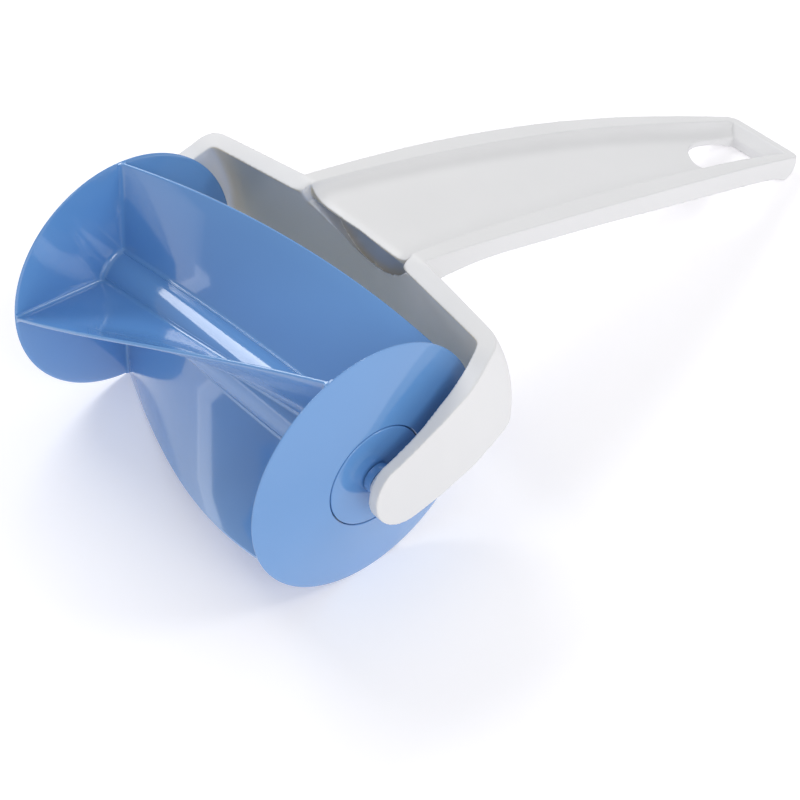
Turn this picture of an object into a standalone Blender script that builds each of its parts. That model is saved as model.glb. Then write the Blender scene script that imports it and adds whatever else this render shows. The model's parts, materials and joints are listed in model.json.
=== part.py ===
"""Rolling dough cutter: a twisted four-blade roller between two sharp discs,
carried by a one-piece forked handle.

Every outline below is in metres and is measured from the roller's axis:
X along the axis, Y towards the end of the handle, Z up. One empty, standing on
the roller's axis, carries all the pieces, so the tool rests on Z = 0.
"""
import math

import bmesh
import bpy
from mathutils import Matrix, Vector

MM = 0.001

# ---- roller
DISC_RADIUS = 37.5 * MM
DISC_SPACING = 107.7 * MM       # between the two sharp rims
RIM_FLAT = 0.35 * MM
RIM_BEVEL = 0.8 * MM
DISC_INNER_STEP = 0.75 * MM     # from the rim's plane to the disc's inner face
DISC_RISE = 4.15 * MM           # from the rim's plane out to the hub cap's face
CORE_RADIUS = 8.1 * MM
CORE_BORE = 6.2 * MM
CORE_FILLET = 1.6 * MM
BLADE_COUNT = 4
BLADE_RADIUS = 37.3 * MM
BLADE_ROOT = 7.0 * MM
BLADE_THICKNESS = 1.4 * MM
BLADE_START = math.radians(-5.1)
BLADE_SWEEP = math.radians(-70.0)
BLADE_INSET = 0.2 * MM           # the blade's ends stop inside the discs' rims
BLADE_STATIONS = 18

# ---- hub caps, washers and axle
FIT_GAP = 0.3 * MM
RUNNING_GAP = 0.15 * MM
OVERSHOOT = 5.0 * MM            # how far a cutter runs past what it cuts
CAP_RADIUS = 15.0 * MM
CAP_THICKNESS = 2.7 * MM
CAP_SPIGOT = 9.0 * MM
AXLE_RADIUS = 3.0 * MM
AXLE_CHAMFER = 0.4 * MM
WASHER_RADIUS = 4.4 * MM
WASHER_THICKNESS = 2.4 * MM
BOSS_RADIUS = 4.8 * MM

# ---- forked frame
AXIS_Y = -88.65 * MM            # roller axis, from the middle of the tool's length
ARM_TIP_Y = 3.5 * MM
ARM_TIP_RADIUS = 11.2 * MM
ARM_TIP_INNER = 64.1 * MM
ARM_TIP_OUTER = 67.5 * MM
ARM_TIP_ARC = (125, 278)        # degrees, from the upper edge round to the lower one
SOCKET_END = 66.0 * MM
CREST_Y = 45.0 * MM
CREST_Z = 27.05 * MM
CREST_SLOPE = -0.2353
CREST_BEND = 0.665              # per metre
CREST_FLAT = 6.0 * MM           # how far the fork's own wall follows the handle's rim
WALL_BULGE = 5.8 * MM
BULGE_LEVEL = 0.7 * MM
BULGE_HALF_HEIGHT = 24.5 * MM
BULGE_START_Y = 15.0 * MM
BULGE_FULL_Y = 35.0 * MM
WALL_LEVELS = range(-14, 31, 4)  # mm, where the wall is divided to take its bulge
ARM_EDGE = [(0.6, 10.1), (7.3, 12.6), (14.1, 15.1), (22.0, 17.6), (30.4, 20.5), (36.7, 23.8)]
HEEL_EDGE = [(60.0, 15.5), (58.5, 5.0), (55.5, -1.0), (50.5, -4.4), (44.0, -5.9), (37.0, -7.4)]
CROSSBAR_BACK = [(0.0, 50.0), (13.0, 49.0), (26.0, 46.2), (44.0, 43.4)]
CROSSBAR_FRONT = [(25.6, 40.0), (12.0, 42.4), (0.0, 43.2)]
CORNER_CENTRE = (56.2 * MM, 34.6 * MM)
CORNER_RADIUS = 6.8 * MM
CORNER_ARC = (8, 80)
CORNER_STEPS = 6
CORNER_INSIDE = [(57.8, 34.0), (57.3, 35.4), (55.8, 36.2)]
ARM_OUTER_START = 6.0 * MM       # ahead of it the arm's outer face is flat
ARM_BACK = [(66.1, 24.5), (67.3, 15.0)]
ARM_FRONT = [(64.1, 3.0), (63.7, 11.5), (61.6, 22.0)]

# ---- channel-shaped handle; each row is a half width and how far along
RIM_OUTER = [(25.7, 45.0), (25.7, 66.0), (25.7, 88.0), (25.0, 112.0),
             (23.6, 138.0), (21.1, 164.5), (17.6, 192.0), (14.5, 214.8)]
RIM_INNER = [(20.9, 46.0), (20.1, 72.0), (19.0, 97.0), (17.9, 120.0),
             (16.6, 145.0), (14.8, 167.0), (13.1, 187.0), (11.3, 214.8)]
HANDLE_END = 214.8 * MM
END_WALL = 3.6 * MM
END_CHAMFER = 2.5 * MM
END_SLANT = 0.62                # how far the end wall leans, per unit of height
FOOT_LENGTH = 3.0 * MM          # flat facet under the end wall, level with the discs
FOOT_RAMP = 9.0 * MM
RIM_CORNER_DROP = 1.0 * MM
FLOOR_DEPTH_FRONT = 3.9 * MM
FLOOR_DEPTH_END = 5.6 * MM
FLOOR_THICKNESS = 2.0 * MM
FLOOR_FRONT = 44.2 * MM
ROOT_LENGTH = 32.0 * MM         # where the handle's walls deepen towards the fork
ROOT_EXTRA = 3.6 * MM
MOUTH_RADIUS = 4.5 * MM
MOUTH_ARC = (180, 262)
MOUTH_STEPS = 5
MOUTH_HALF_WIDTH = 20.9 * MM
NOTCH_FRONT = 36.0 * MM         # in front of the crossbar's wall
POCKET_BACK = 51.8 * MM
POCKET_HALF_WIDTH = 21.5 * MM
POCKET_LOW = 10.1 * MM
POCKET_CURVE = 30.0             # per metre
POCKET_STEPS = 12
POCKET_LIP_GAP = 0.5 * MM       # the pocket's lower edge ends this far below the floor
SLOT_FAR_SIDE = -8.4 * MM
SLOT_NEAR_SIDE = 10.4 * MM
SLOT_NOSE = [(-8.4, 196.0), (-7.9, 189.0), (-5.0, 182.6), (-0.6, 178.6), (4.2, 175.8),
             (8.2, 176.4), (10.2, 181.0), (10.4, 190.0)]
FAR = 60.0 * MM                 # cutters reach this far above and below the roller's axis
WIDE = 80.0 * MM                # and this far to each side

ROUND_STEPS = 72
SMALL_STEPS = 40


# ---- scene and materials
def clear_scene():
    for item in list(bpy.data.objects):
        bpy.data.objects.remove(item, do_unlink=True)


def new_collection(name):
    collection = bpy.data.collections.new(name)
    bpy.context.scene.collection.children.link(collection)
    return collection


def plastic(name, colour, roughness):
    material = bpy.data.materials.new(name)
    material.use_nodes = True
    shader = material.node_tree.nodes["Principled BSDF"]
    shader.inputs["Base Color"].default_value = (*colour, 1.0)
    shader.inputs["Roughness"].default_value = roughness
    return material


def metal(name, colour, roughness):
    material = plastic(name, colour, roughness)
    material.node_tree.nodes["Principled BSDF"].inputs["Metallic"].default_value = 1.0
    return material


clear_scene()
PARTS = new_collection("rolling_dough_cutter")
CUTTERS = new_collection("cutters")
WHITE = plastic("satin_white_plastic", (0.82, 0.83, 0.85), 0.42)
BLUE = plastic("gloss_blue_plastic", (0.11, 0.29, 0.68), 0.16)
STEEL = metal("steel", (0.62, 0.62, 0.64), 0.3)

AXIS = bpy.data.objects.new("roller_axis", None)
AXIS.location = (0.0, AXIS_Y, DISC_RADIUS)
PARTS.objects.link(AXIS)


# ---- small modelling helpers
def place(item, collection, material=None):
    collection.objects.link(item)
    item.parent = AXIS
    if material is not None:
        item.data.materials.append(material)
    if collection is CUTTERS:
        item.hide_render = True
        item.display_type = "WIRE"
    return item


def smooth_line(points, steps=4):
    """Points of a smooth curve (Catmull-Rom) through the given ones."""
    padded = [points[0]] + list(points) + [points[-1]]
    line = []
    for before, start, end, after in zip(padded, padded[1:], padded[2:], padded[3:]):
        for step in range(steps):
            t = step / steps
            line.append(tuple(
                0.5 * (2 * b + (c - a) * t + (2 * a - 5 * b + 4 * c - d) * t ** 2
                       + (3 * b - a - 3 * c + d) * t ** 3)
                for a, b, c, d in zip(before, start, end, after)))
    line.append(tuple(points[-1]))
    return line


def arc(centre, radius, start, end, steps):
    turn = (math.radians(end) - math.radians(start)) / steps
    angles = [math.radians(start) + turn * step for step in range(steps + 1)]
    return [(centre[0] + radius * math.cos(a), centre[1] + radius * math.sin(a)) for a in angles]


def in_metres(rows):
    return [(u * MM, v * MM) for u, v in rows]


def both_sides(half):
    """A closed outline from its +X half, which starts and ends on the middle line."""
    return half + [(-x, y) for x, y in reversed(half[1:-1])]


def prism(name, outline, low, high, along):
    """A flat outline given thickness along X, Y or Z."""
    curve = bpy.data.curves.new(name, "CURVE")
    curve.dimensions = "2D"
    curve.fill_mode = "BOTH"
    curve.extrude = (high - low) / 2
    spline = curve.splines.new("POLY")
    spline.points.add(len(outline) - 1)
    for point, (u, v) in zip(spline.points, outline):
        point.co = (u, v, 0.0, 1.0)
    spline.use_cyclic_u = True
    drawn = bpy.data.objects.new(name, curve)
    bpy.context.scene.collection.objects.link(drawn)
    bpy.context.view_layer.update()
    depsgraph = bpy.context.evaluated_depsgraph_get()
    mesh = bpy.data.meshes.new_from_object(drawn.evaluated_get(depsgraph))
    bpy.data.objects.remove(drawn, do_unlink=True)
    middle = (low + high) / 2
    turn = {"Z": Matrix.Identity(4),
            "X": Matrix(((0, 0, 1, 0), (1, 0, 0, 0), (0, 1, 0, 0), (0, 0, 0, 1))),
            "Y": Matrix(((1, 0, 0, 0), (0, 0, -1, 0), (0, 1, 0, 0), (0, 0, 0, 1)))}[along]
    shift = {"X": (middle, 0, 0), "Y": (0, middle, 0), "Z": (0, 0, middle)}[along]
    mesh.transform(Matrix.Translation(Vector(shift)) @ turn)
    shape = bmesh.new()
    shape.from_mesh(mesh)
    bmesh.ops.remove_doubles(shape, verts=shape.verts, dist=0.00001)
    bmesh.ops.recalc_face_normals(shape, faces=shape.faces)
    shape.to_mesh(mesh)
    shape.free()
    return bpy.data.objects.new(name, mesh)


def turned(name, profile, steps):
    """A closed (radius, x) profile turned about the X axis."""
    mesh = bpy.data.meshes.new(name)
    edges = [(i, (i + 1) % len(profile)) for i in range(len(profile))]
    mesh.from_pydata([(radius, 0.0, x) for radius, x in profile], edges, [])
    item = bpy.data.objects.new(name, mesh)
    screw = item.modifiers.new("turn", "SCREW")
    screw.steps = steps
    screw.render_steps = steps
    screw.use_merge_vertices = True
    screw.merge_threshold = 0.00001
    screw.use_smooth_shade = True
    item.rotation_euler = (0.0, math.pi / 2, 0.0)
    return item


def combine(item, other, operation):
    boolean = item.modifiers.new(operation.lower() + "_" + other.name, "BOOLEAN")
    boolean.operation = operation
    boolean.solver = "EXACT"
    boolean.object = other


def shade_round(item, angle=32.0):
    item.data.shade_smooth()
    item.data.set_sharp_from_angle(angle=math.radians(angle))


# ---- roller
def disc_face(radius):
    """How far out the shallow cone of a disc's outer face lies at a radius."""
    return DISC_SPACING / 2 + DISC_RISE * (DISC_RADIUS - radius) / (DISC_RADIUS - CAP_RADIUS)


def roller_profile():
    rim = DISC_SPACING / 2
    inner = rim - DISC_INNER_STEP
    recess = CAP_RADIUS + FIT_GAP
    recess_floor = rim + DISC_RISE - CAP_THICKNESS - FIT_GAP
    half = [(recess, disc_face(recess)),
            (DISC_RADIUS, rim),
            (DISC_RADIUS, rim - RIM_FLAT),
            (DISC_RADIUS - RIM_BEVEL, inner)]
    half = half + arc((CORE_RADIUS + CORE_FILLET, inner - CORE_FILLET), CORE_FILLET, 90, 180, 2)
    bore = [(CORE_BORE, recess_floor), (recess, recess_floor)]
    return (half + [(radius, -x) for radius, x in reversed(half)]
            + [(radius, -x) for radius, x in reversed(bore)] + bore)


def blade(index):
    """A thin radial wall that turns steadily about the axis from disc to disc."""
    half_length = DISC_SPACING / 2 - BLADE_INSET
    shape = bmesh.new()
    bmesh.ops.create_cube(shape, size=1.0)
    size = (2 * half_length, BLADE_THICKNESS, BLADE_RADIUS - BLADE_ROOT)
    bmesh.ops.scale(shape, vec=size, verts=shape.verts)
    bmesh.ops.translate(shape, vec=(0, 0, (BLADE_RADIUS + BLADE_ROOT) / 2), verts=shape.verts)
    for station in range(1, BLADE_STATIONS):
        x = -half_length + 2 * half_length * station / BLADE_STATIONS
        everything = shape.verts[:] + shape.edges[:] + shape.faces[:]
        bmesh.ops.bisect_plane(shape, geom=everything, plane_co=(x, 0, 0), plane_no=(1, 0, 0))
    bmesh.ops.triangulate(shape, faces=[f for f in shape.faces if len(f.verts) > 4])
    for vertex in shape.verts:
        share = vertex.co.x / DISC_SPACING + 0.5
        angle = BLADE_START + BLADE_SWEEP * share + math.tau * index / BLADE_COUNT
        vertex.co = Matrix.Rotation(angle, 3, "X") @ vertex.co
    mesh = bpy.data.meshes.new("blade_{}".format(index + 1))
    shape.to_mesh(mesh)
    shape.free()
    return place(bpy.data.objects.new(mesh.name, mesh), CUTTERS)


def roller_body():
    body = place(turned("roller_body", roller_profile(), ROUND_STEPS), PARTS, BLUE)
    for index in range(BLADE_COUNT):
        combine(body, blade(index), "UNION")


def hub_cap(side, sign):
    face = DISC_SPACING / 2 + DISC_RISE
    back = face - CAP_THICKNESS
    spigot = CORE_BORE - FIT_GAP
    bore = AXLE_RADIUS + RUNNING_GAP
    profile = [(bore, face), (CAP_RADIUS, face), (CAP_RADIUS, back), (spigot, back),
               (spigot, back - CAP_SPIGOT), (bore, back - CAP_SPIGOT)]
    cap = place(turned("hub_cap_" + side, profile, SMALL_STEPS), PARTS, BLUE)
    cap.rotation_euler.y = sign * math.pi / 2


def thrust_washer(side, sign):
    inner = DISC_SPACING / 2 + DISC_RISE + FIT_GAP
    outer = inner + WASHER_THICKNESS
    bore = AXLE_RADIUS + RUNNING_GAP
    profile = [(bore, outer), (WASHER_RADIUS, outer), (WASHER_RADIUS, inner), (bore, inner)]
    washer = place(turned("thrust_washer_" + side, profile, SMALL_STEPS), PARTS, BLUE)
    washer.rotation_euler.y = sign * math.pi / 2


def axle_rod():
    end = SOCKET_END - FIT_GAP
    shape = bmesh.new()
    bmesh.ops.create_cone(shape, cap_ends=True, segments=SMALL_STEPS,
                          radius1=AXLE_RADIUS, radius2=AXLE_RADIUS, depth=2 * end)
    ends = [edge for edge in shape.edges if abs(edge.verts[0].co.z - edge.verts[1].co.z) < MM]
    bmesh.ops.bevel(shape, geom=ends, offset=AXLE_CHAMFER, segments=1, affect="EDGES")
    mesh = bpy.data.meshes.new("axle_rod")
    shape.to_mesh(mesh)
    shape.free()
    rod = place(bpy.data.objects.new("axle_rod", mesh), PARTS, STEEL)
    rod.rotation_euler = (0.0, math.pi / 2, 0.0)
    shade_round(rod)


# ---- forked frame
def rim_height(y):
    """Height of the handle's rim: a slow arch that falls to the handle's end."""
    return CREST_Z + CREST_SLOPE * (y - CREST_Y) - CREST_BEND * (y - CREST_Y) ** 2


def floor_depth(y):
    share = (y - FLOOR_FRONT) / (HANDLE_END - FLOOR_FRONT)
    return FLOOR_DEPTH_FRONT + (FLOOR_DEPTH_END - FLOOR_DEPTH_FRONT) * share


def floor_top(y):
    return rim_height(y) - floor_depth(y)


def wall_drop(y):
    """Height of the handle's side walls, which deepen towards the fork."""
    share = max(0.0, 1.0 - (y - CREST_Y) / ROOT_LENGTH)
    return floor_depth(y) + FLOOR_THICKNESS + ROOT_EXTRA * share ** 2


def rim_line(start, end, drop, steps=14):
    """Side view of the handle between two places, dropped below its rim."""
    places = [start + (end - start) * step / steps for step in range(steps + 1)]
    return [(y, rim_height(y) - drop(y)) for y in places]


def crest_line():
    return rim_line(CREST_Y, CREST_Y + CREST_FLAT, lambda y: 0.0, 2)


def fork_side():
    """Side view of the fork: round tips, rising edge, crest, and a rounded heel."""
    upper = smooth_line(in_metres(ARM_EDGE) + [(CREST_Y, CREST_Z)], 3)
    heel = smooth_line(in_metres(HEEL_EDGE), 3)
    tip = arc((ARM_TIP_Y, 0.0), ARM_TIP_RADIUS, *ARM_TIP_ARC, 16)
    return upper + crest_line()[1:] + heel + list(reversed(tip))


def fork_plan():
    """Plan of the fork's wall: two splayed arms and a swept crossbar."""
    front_end = -ARM_TIP_RADIUS - MM
    back = (smooth_line(in_metres(CROSSBAR_BACK), 3)
            + list(reversed(arc(CORNER_CENTRE, CORNER_RADIUS, *CORNER_ARC, CORNER_STEPS)))
            + smooth_line(in_metres(ARM_BACK), 2)
            + [(ARM_TIP_OUTER, ARM_OUTER_START), (ARM_TIP_OUTER, front_end)])
    front = ([(ARM_TIP_INNER, front_end)]
             + smooth_line(in_metres(ARM_FRONT), 2)
             + in_metres(CORNER_INSIDE)
             + smooth_line(in_metres(CROSSBAR_FRONT), 3))
    return both_sides(back + front)


def wall_lean(y, z):
    """The crossbar's wall bows away from the roller; the arms stay as they are."""
    share = min(max((y - BULGE_START_Y) / (BULGE_FULL_Y - BULGE_START_Y), 0.0), 1.0)
    ease = share * share * (3 - 2 * share)
    return ease * WALL_BULGE * (1 - ((z - BULGE_LEVEL) / BULGE_HALF_HEIGHT) ** 2)


def fork_wall(name):
    wall = prism(name, fork_plan(), WALL_LEVELS[0] * MM, WALL_LEVELS[-1] * MM, "Z")
    shape = bmesh.new()
    shape.from_mesh(wall.data)
    for level in WALL_LEVELS[1:-1]:
        everything = shape.verts[:] + shape.edges[:] + shape.faces[:]
        bmesh.ops.bisect_plane(shape, geom=everything, plane_co=(0, 0, level * MM),
                               plane_no=(0, 0, 1))
    for vertex in shape.verts:
        vertex.co.y += wall_lean(vertex.co.y, vertex.co.z)
    shape.to_mesh(wall.data)
    shape.free()
    return wall


def handle_width(rows, start, end):
    """Half widths along the handle, from its end back towards the fork."""
    line = [point for point in smooth_line(in_metres(rows), 3) if start <= point[1] <= end]
    return list(reversed(line))


def handle_bar():
    """The handle as a solid bar: its plan, cut to its side view."""
    sides = handle_width(RIM_OUTER, CREST_Y + MM, HANDLE_END)
    corner = (sides[0][0], HANDLE_END - END_CHAMFER)
    tail = sides[0][0] - END_CHAMFER
    root = CREST_Y - MM
    plan = [(0.0, HANDLE_END + OVERSHOOT), (tail, HANDLE_END + OVERSHOOT), (tail, HANDLE_END),
            corner] + sides[1:] + [(RIM_OUTER[0][0] * MM, root), (0.0, root)]
    bar = prism("handle_bar", both_sides(plan), -FAR, FAR, "Z")
    under_end = HANDLE_END - END_SLANT * (FLOOR_THICKNESS + FLOOR_DEPTH_END)
    upper = crest_line() + rim_line(CREST_Y + CREST_FLAT, HANDLE_END, lambda y: 0.0)[1:]
    nose = [(HANDLE_END, rim_height(HANDLE_END) - RIM_CORNER_DROP)]
    lower = (rim_line(CREST_Y, under_end - FOOT_RAMP, wall_drop)
             + [(under_end - FOOT_LENGTH, -DISC_RADIUS), (under_end, -DISC_RADIUS)])
    side = prism("handle_side", upper + nose + list(reversed(lower)), -WIDE, WIDE, "X")
    combine(place(bar, CUTTERS), place(side, CUTTERS), "INTERSECT")
    return bar


def channel():
    """The dished channel of the handle, open at the top and at the fork."""
    back = HANDLE_END - END_WALL
    ahead = FLOOR_FRONT - 2 * OVERSHOOT
    sides = handle_width(RIM_INNER, CREST_Y + MM, back)
    mouth = arc((MOUTH_HALF_WIDTH + MOUTH_RADIUS, CREST_Y), MOUTH_RADIUS, *MOUTH_ARC, MOUTH_STEPS)
    plan = ([(0.0, back + OVERSHOOT), (sides[0][0], back + OVERSHOOT)] + sides + mouth
            + [(mouth[-1][0], ahead - MM), (0.0, ahead - MM)])
    cut = prism("channel", both_sides(plan), -FAR, FAR, "Z")
    deep_end = back - END_SLANT * floor_depth(back)
    outline = ([(ahead, FAR), (ahead, floor_top(ahead))]
               + rim_line(FLOOR_FRONT, deep_end, floor_depth)
               + [(back, rim_height(back)), (back + 2 * OVERSHOOT, FAR)])
    side = prism("channel_side", outline, -WIDE, WIDE, "X")
    combine(place(cut, CUTTERS), place(side, CUTTERS), "INTERSECT")
    return cut


def pocket_outline(top):
    """Front view of the lens-shaped gap: its lower edge dips in the middle."""
    lip = floor_top(FLOOR_FRONT) - FLOOR_THICKNESS
    across = [POCKET_HALF_WIDTH * (2 * step / POCKET_STEPS - 1) for step in range(POCKET_STEPS + 1)]
    low = [(x, min(POCKET_LOW + POCKET_CURVE * x * x, lip - POCKET_LIP_GAP)) for x in across]
    return low + [(POCKET_HALF_WIDTH, top), (-POCKET_HALF_WIDTH, top)]


def pocket_cutters():
    """The gap in front of the channel's floor, and the blind pocket below it."""
    lip = floor_top(FLOOR_FRONT) - FLOOR_THICKNESS
    ceiling = floor_top(POCKET_BACK) - FLOOR_THICKNESS
    notch = prism("notch", pocket_outline(FAR), NOTCH_FRONT, FLOOR_FRONT, "Y")
    hollow = prism("pocket", pocket_outline(CREST_Z), NOTCH_FRONT + MM / 2, POCKET_BACK + OVERSHOOT, "Y")
    below = [(NOTCH_FRONT - MM, 0.0), (POCKET_BACK, 0.0), (POCKET_BACK, ceiling),
             (FLOOR_FRONT, lip), (NOTCH_FRONT - MM, lip)]
    side = prism("pocket_side", below, -WIDE, WIDE, "X")
    combine(place(hollow, CUTTERS), place(side, CUTTERS), "INTERSECT")
    return place(notch, CUTTERS), hollow


def hang_slot():
    """A hole through the channel's floor, whose rounded front leans to the near side."""
    end = HANDLE_END - END_WALL - END_SLANT * FLOOR_DEPTH_END
    outline = smooth_line(in_metres(SLOT_NOSE)) + [(SLOT_NEAR_SIDE, end), (SLOT_FAR_SIDE, end)]
    return place(prism("hang_slot", outline, -FAR, FAR, "Z"), CUTTERS)


def boss(side, sign, name, radius, near, far):
    shape = bmesh.new()
    bmesh.ops.create_cone(shape, cap_ends=True, segments=SMALL_STEPS,
                          radius1=radius, radius2=radius, depth=far - near)
    bmesh.ops.rotate(shape, matrix=Matrix.Rotation(math.pi / 2, 3, "Y"), verts=shape.verts)
    bmesh.ops.translate(shape, vec=(sign * (near + far) / 2, 0, 0), verts=shape.verts)
    mesh = bpy.data.meshes.new("{}_{}".format(name, side))
    shape.to_mesh(mesh)
    shape.free()
    return place(bpy.data.objects.new(mesh.name, mesh), CUTTERS)


def handle_frame():
    frame = place(fork_wall("handle_frame"), PARTS, WHITE)
    side = place(prism("fork_side", fork_side(), -WIDE, WIDE, "X"), CUTTERS)
    combine(frame, side, "INTERSECT")
    combine(frame, handle_bar(), "UNION")
    combine(frame, channel(), "DIFFERENCE")
    for cutter in pocket_cutters():
        combine(frame, cutter, "DIFFERENCE")
    combine(frame, hang_slot(), "DIFFERENCE")
    boss_start = DISC_SPACING / 2 + DISC_RISE + WASHER_THICKNESS + 2 * FIT_GAP
    for label, sign in (("left", -1), ("right", 1)):
        combine(frame, boss(label, sign, "boss", BOSS_RADIUS, boss_start, ARM_TIP_INNER + MM), "UNION")
        bore = AXLE_RADIUS + RUNNING_GAP
        combine(frame, boss(label, sign, "socket", bore, boss_start - MM, SOCKET_END), "DIFFERENCE")


roller_body()
axle_rod()
for label, sign in (("left", -1), ("right", 1)):
    hub_cap(label, sign)
    thrust_washer(label, sign)
handle_frame()
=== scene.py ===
"""Looks of a rolling dough cutter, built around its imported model.

Lengths are in metres. The frame's and the roller's outlines are measured from the
roller's axis: X along the axis, Y towards the end of the handle, Z up.
"""
import json
import math

import bpy
import numpy as np
from mathutils import Euler, Matrix, Vector


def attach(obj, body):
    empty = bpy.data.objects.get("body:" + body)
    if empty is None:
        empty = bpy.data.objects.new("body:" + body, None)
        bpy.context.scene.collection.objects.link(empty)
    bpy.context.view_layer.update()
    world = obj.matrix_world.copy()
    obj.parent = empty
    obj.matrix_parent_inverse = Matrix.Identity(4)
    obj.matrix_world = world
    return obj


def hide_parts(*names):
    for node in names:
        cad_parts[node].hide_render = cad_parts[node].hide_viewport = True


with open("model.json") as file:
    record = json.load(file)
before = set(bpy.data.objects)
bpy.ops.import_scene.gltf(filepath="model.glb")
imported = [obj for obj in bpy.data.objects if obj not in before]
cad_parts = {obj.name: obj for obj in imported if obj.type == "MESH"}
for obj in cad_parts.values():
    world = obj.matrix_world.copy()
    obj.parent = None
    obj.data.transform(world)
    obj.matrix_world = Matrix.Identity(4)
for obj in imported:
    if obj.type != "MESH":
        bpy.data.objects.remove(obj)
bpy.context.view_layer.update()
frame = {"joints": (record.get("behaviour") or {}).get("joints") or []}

MM = 0.001
AXIS = Vector(frame["joints"][0]["pos_m"])
DISC_RADIUS = AXIS.z

# ---- surfaces: colours, and the object's Y between which the inside of the fork gets a painted shade, warm against the roller's blue light and darker in its pocket
WHITE_TONES = (0.80, 0.80, 0.805), (0.78, 0.78, 0.785)
BLUE_TONES = (0.137, 0.335, 0.69), (0.125, 0.315, 0.66)
STEEL_COLOUR = (0.62, 0.62, 0.64)
CLOUD_SCALE = 22.0
SMEAR_SCALE = 90.0
WAVE_SCALE = 35.0
WAVE_HEIGHT = 0.6 * MM
WAVE_STRENGTH = 0.08
GRAIN_SCALE = 2600.0
GRAIN_HEIGHT = 0.04 * MM
DRAWN_STRETCH = (30.0, 2500.0, 2500.0)
DRAWN_HEIGHT = 0.03 * MM
# painted shade: warms and darkens the faces that look at the roller, cancelling the blue light it
# throws on them
INSIDE_SHADE_TINT = (1.0, 0.89, 0.66)
INSIDE_FACING = (-0.6, -1.0)    # Y of the normal, from no tint to the full one
INSIDE_FROM = -0.060
INSIDE_TO = -0.026
INSIDE_EASE = 0.006
# painted shade: darker still on the back of the pocket behind the lens-shaped gap, where the object's
# Y passes the two values below
POCKET_SHADE_TINT = (0.87, 0.82, 0.73)
POCKET_SHADE_FROM = -0.0395
POCKET_SHADE_TO = -0.0389

# ---- camera, floor and light
CAMERA_FROM_AXIS = Vector((0.38431, -0.25641, 0.42122))
CAMERA_TURN = (46.434, 1.566, 49.388)
CAMERA_LENS = 102.38
CAMERA_SENSOR = 36.0
FLOOR_SIZE = 6.0
FLOOR_COLOUR = (0.9, 0.9, 0.91)
FLOOR_GLOW = (1.0, 0.965, 1.0)
FLOOR_GLOW_STRENGTH = 0.27
WORLD_COLOUR = (0.98, 0.985, 1.0)
WORLD_STRENGTH = 0.50
SOFTBOX_TARGET = Vector((0.0, 0.0, 0.02))
SOFTBOXES = [                   # name, place, size, watts
    ("overhead", (-0.66, 0.06, 0.76), (0.86, 0.3), 3.9),
    ("right", (1.0, -0.35, 0.75), (0.6, 0.5), 3.5),
    ("back", (0.75, 0.65, 0.9), (0.4, 0.4), 2.6),
    ("left", (-0.72, -0.5, 0.05), (1.2, 0.1), 0.42)]

# ---- roller
DISC_SPACING = 107.7 * MM
RIM_FLAT = 0.35 * MM
RIM_TURN = 70
RIM_STEPS = 6
RIM_BEVEL = 0.8 * MM
FACE_START = 1.5 * MM           # where a disc's face begins past its recess
FACE_END = 1.0 * MM             # and ends short of its rim
FACE_STEPS = 6
DISC_INNER_STEP = 0.75 * MM
DISC_RISE = 4.15 * MM
CORE_RADIUS = 8.1 * MM
CORE_BORE = 6.2 * MM
CORE_FILLET = 1.8 * MM
CORE_FILLET_STEPS = 8
BLADE_COUNT = 4
BLADE_RADIUS = 37.3 * MM
BLADE_ROOT = 7.0 * MM
BLADE_THICKNESS = 1.4 * MM
BLADE_TIP = 1.1 * MM
BLADE_TIP_ROUND = 0.45 * MM
BLADE_TIP_TURNS = (25, 50, 75)
BLADE_INSET = 0.2 * MM
BLADE_START = math.radians(-5.1)
BLADE_SWEEP = math.radians(-70.0)
BLADE_STATIONS = 110
BLADE_RINGS = 7
BLADE_FILLET = 1.1 * MM
FILLET_SHARES = np.array([0.0, 0.05, 0.15, 0.3, 0.5, 0.75, 1.0])
TURN_STEPS = 288
SMALL_TURN_STEPS = TURN_STEPS // 3
TURNED_SHARP = 35

# ---- hub
FIT_GAP = 0.3 * MM
CAP_RADIUS = 15.0 * MM
CAP_THICKNESS = 2.7 * MM
CAP_SPIGOT = 9.0 * MM
AXLE_RADIUS = 3.0 * MM
AXLE_CHAMFER = 0.4 * MM
AXLE_BORE = 3.15 * MM
WASHER_RADIUS = 4.4 * MM
WASHER_THICKNESS = 2.4 * MM
BOSS_RADIUS = 4.8 * MM
SMALL_ROUND = 0.4 * MM
SMALL_ROUND_STEPS = 3
LARGEST_CUT = 0.45              # share of an edge that a rounded corner may take
HUB_SHARP = 40

# ---- forked frame: bare points are in millimetres, (y, z) for the edges seen from the side,
# ---- (x, y) for the plan
ARM_TIP_Y = 3.5 * MM
ARM_TIP_RADIUS = 11.2 * MM
ARM_TIP_INNER = 64.1 * MM
ARM_TIP_OUTER = 67.5 * MM
ARM_TIP_ARC = (125, 278)
ARM_TIP_STEPS = 60
SOCKET_END = 66.0 * MM
SOCKET_RADIUS = 3.3 * MM
CREST_Y = 45.0 * MM
CREST_Z = 27.05 * MM
CREST_SLOPE = -0.2353
CREST_BEND = 0.665              # per metre
CREST_FLAT = 6.0 * MM
CREST_STEPS = 4
RIM_LINE_STEPS = 60
WALL_BULGE = 5.8 * MM
BULGE_LEVEL = 0.7 * MM
BULGE_HALF_HEIGHT = 24.5 * MM
BULGE_START_Y = 15.0 * MM
BULGE_FULL_Y = 35.0 * MM
WALL_LEVELS = np.arange(-14.0, 30.5, 1.0) * MM
ARM_EDGE = [(0.6, 10.1), (7.3, 12.6), (14.1, 15.1), (22.0, 17.6), (30.4, 20.5), (36.7, 23.8)]
HEEL_EDGE = [(60.0, 15.5), (58.5, 5.0), (55.5, -1.0), (50.5, -4.4), (44.0, -5.9), (37.0, -7.4)]
CROSSBAR_BACK = [(0.0, 50.0), (13.0, 49.0), (26.0, 46.2), (44.0, 43.4)]
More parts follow.
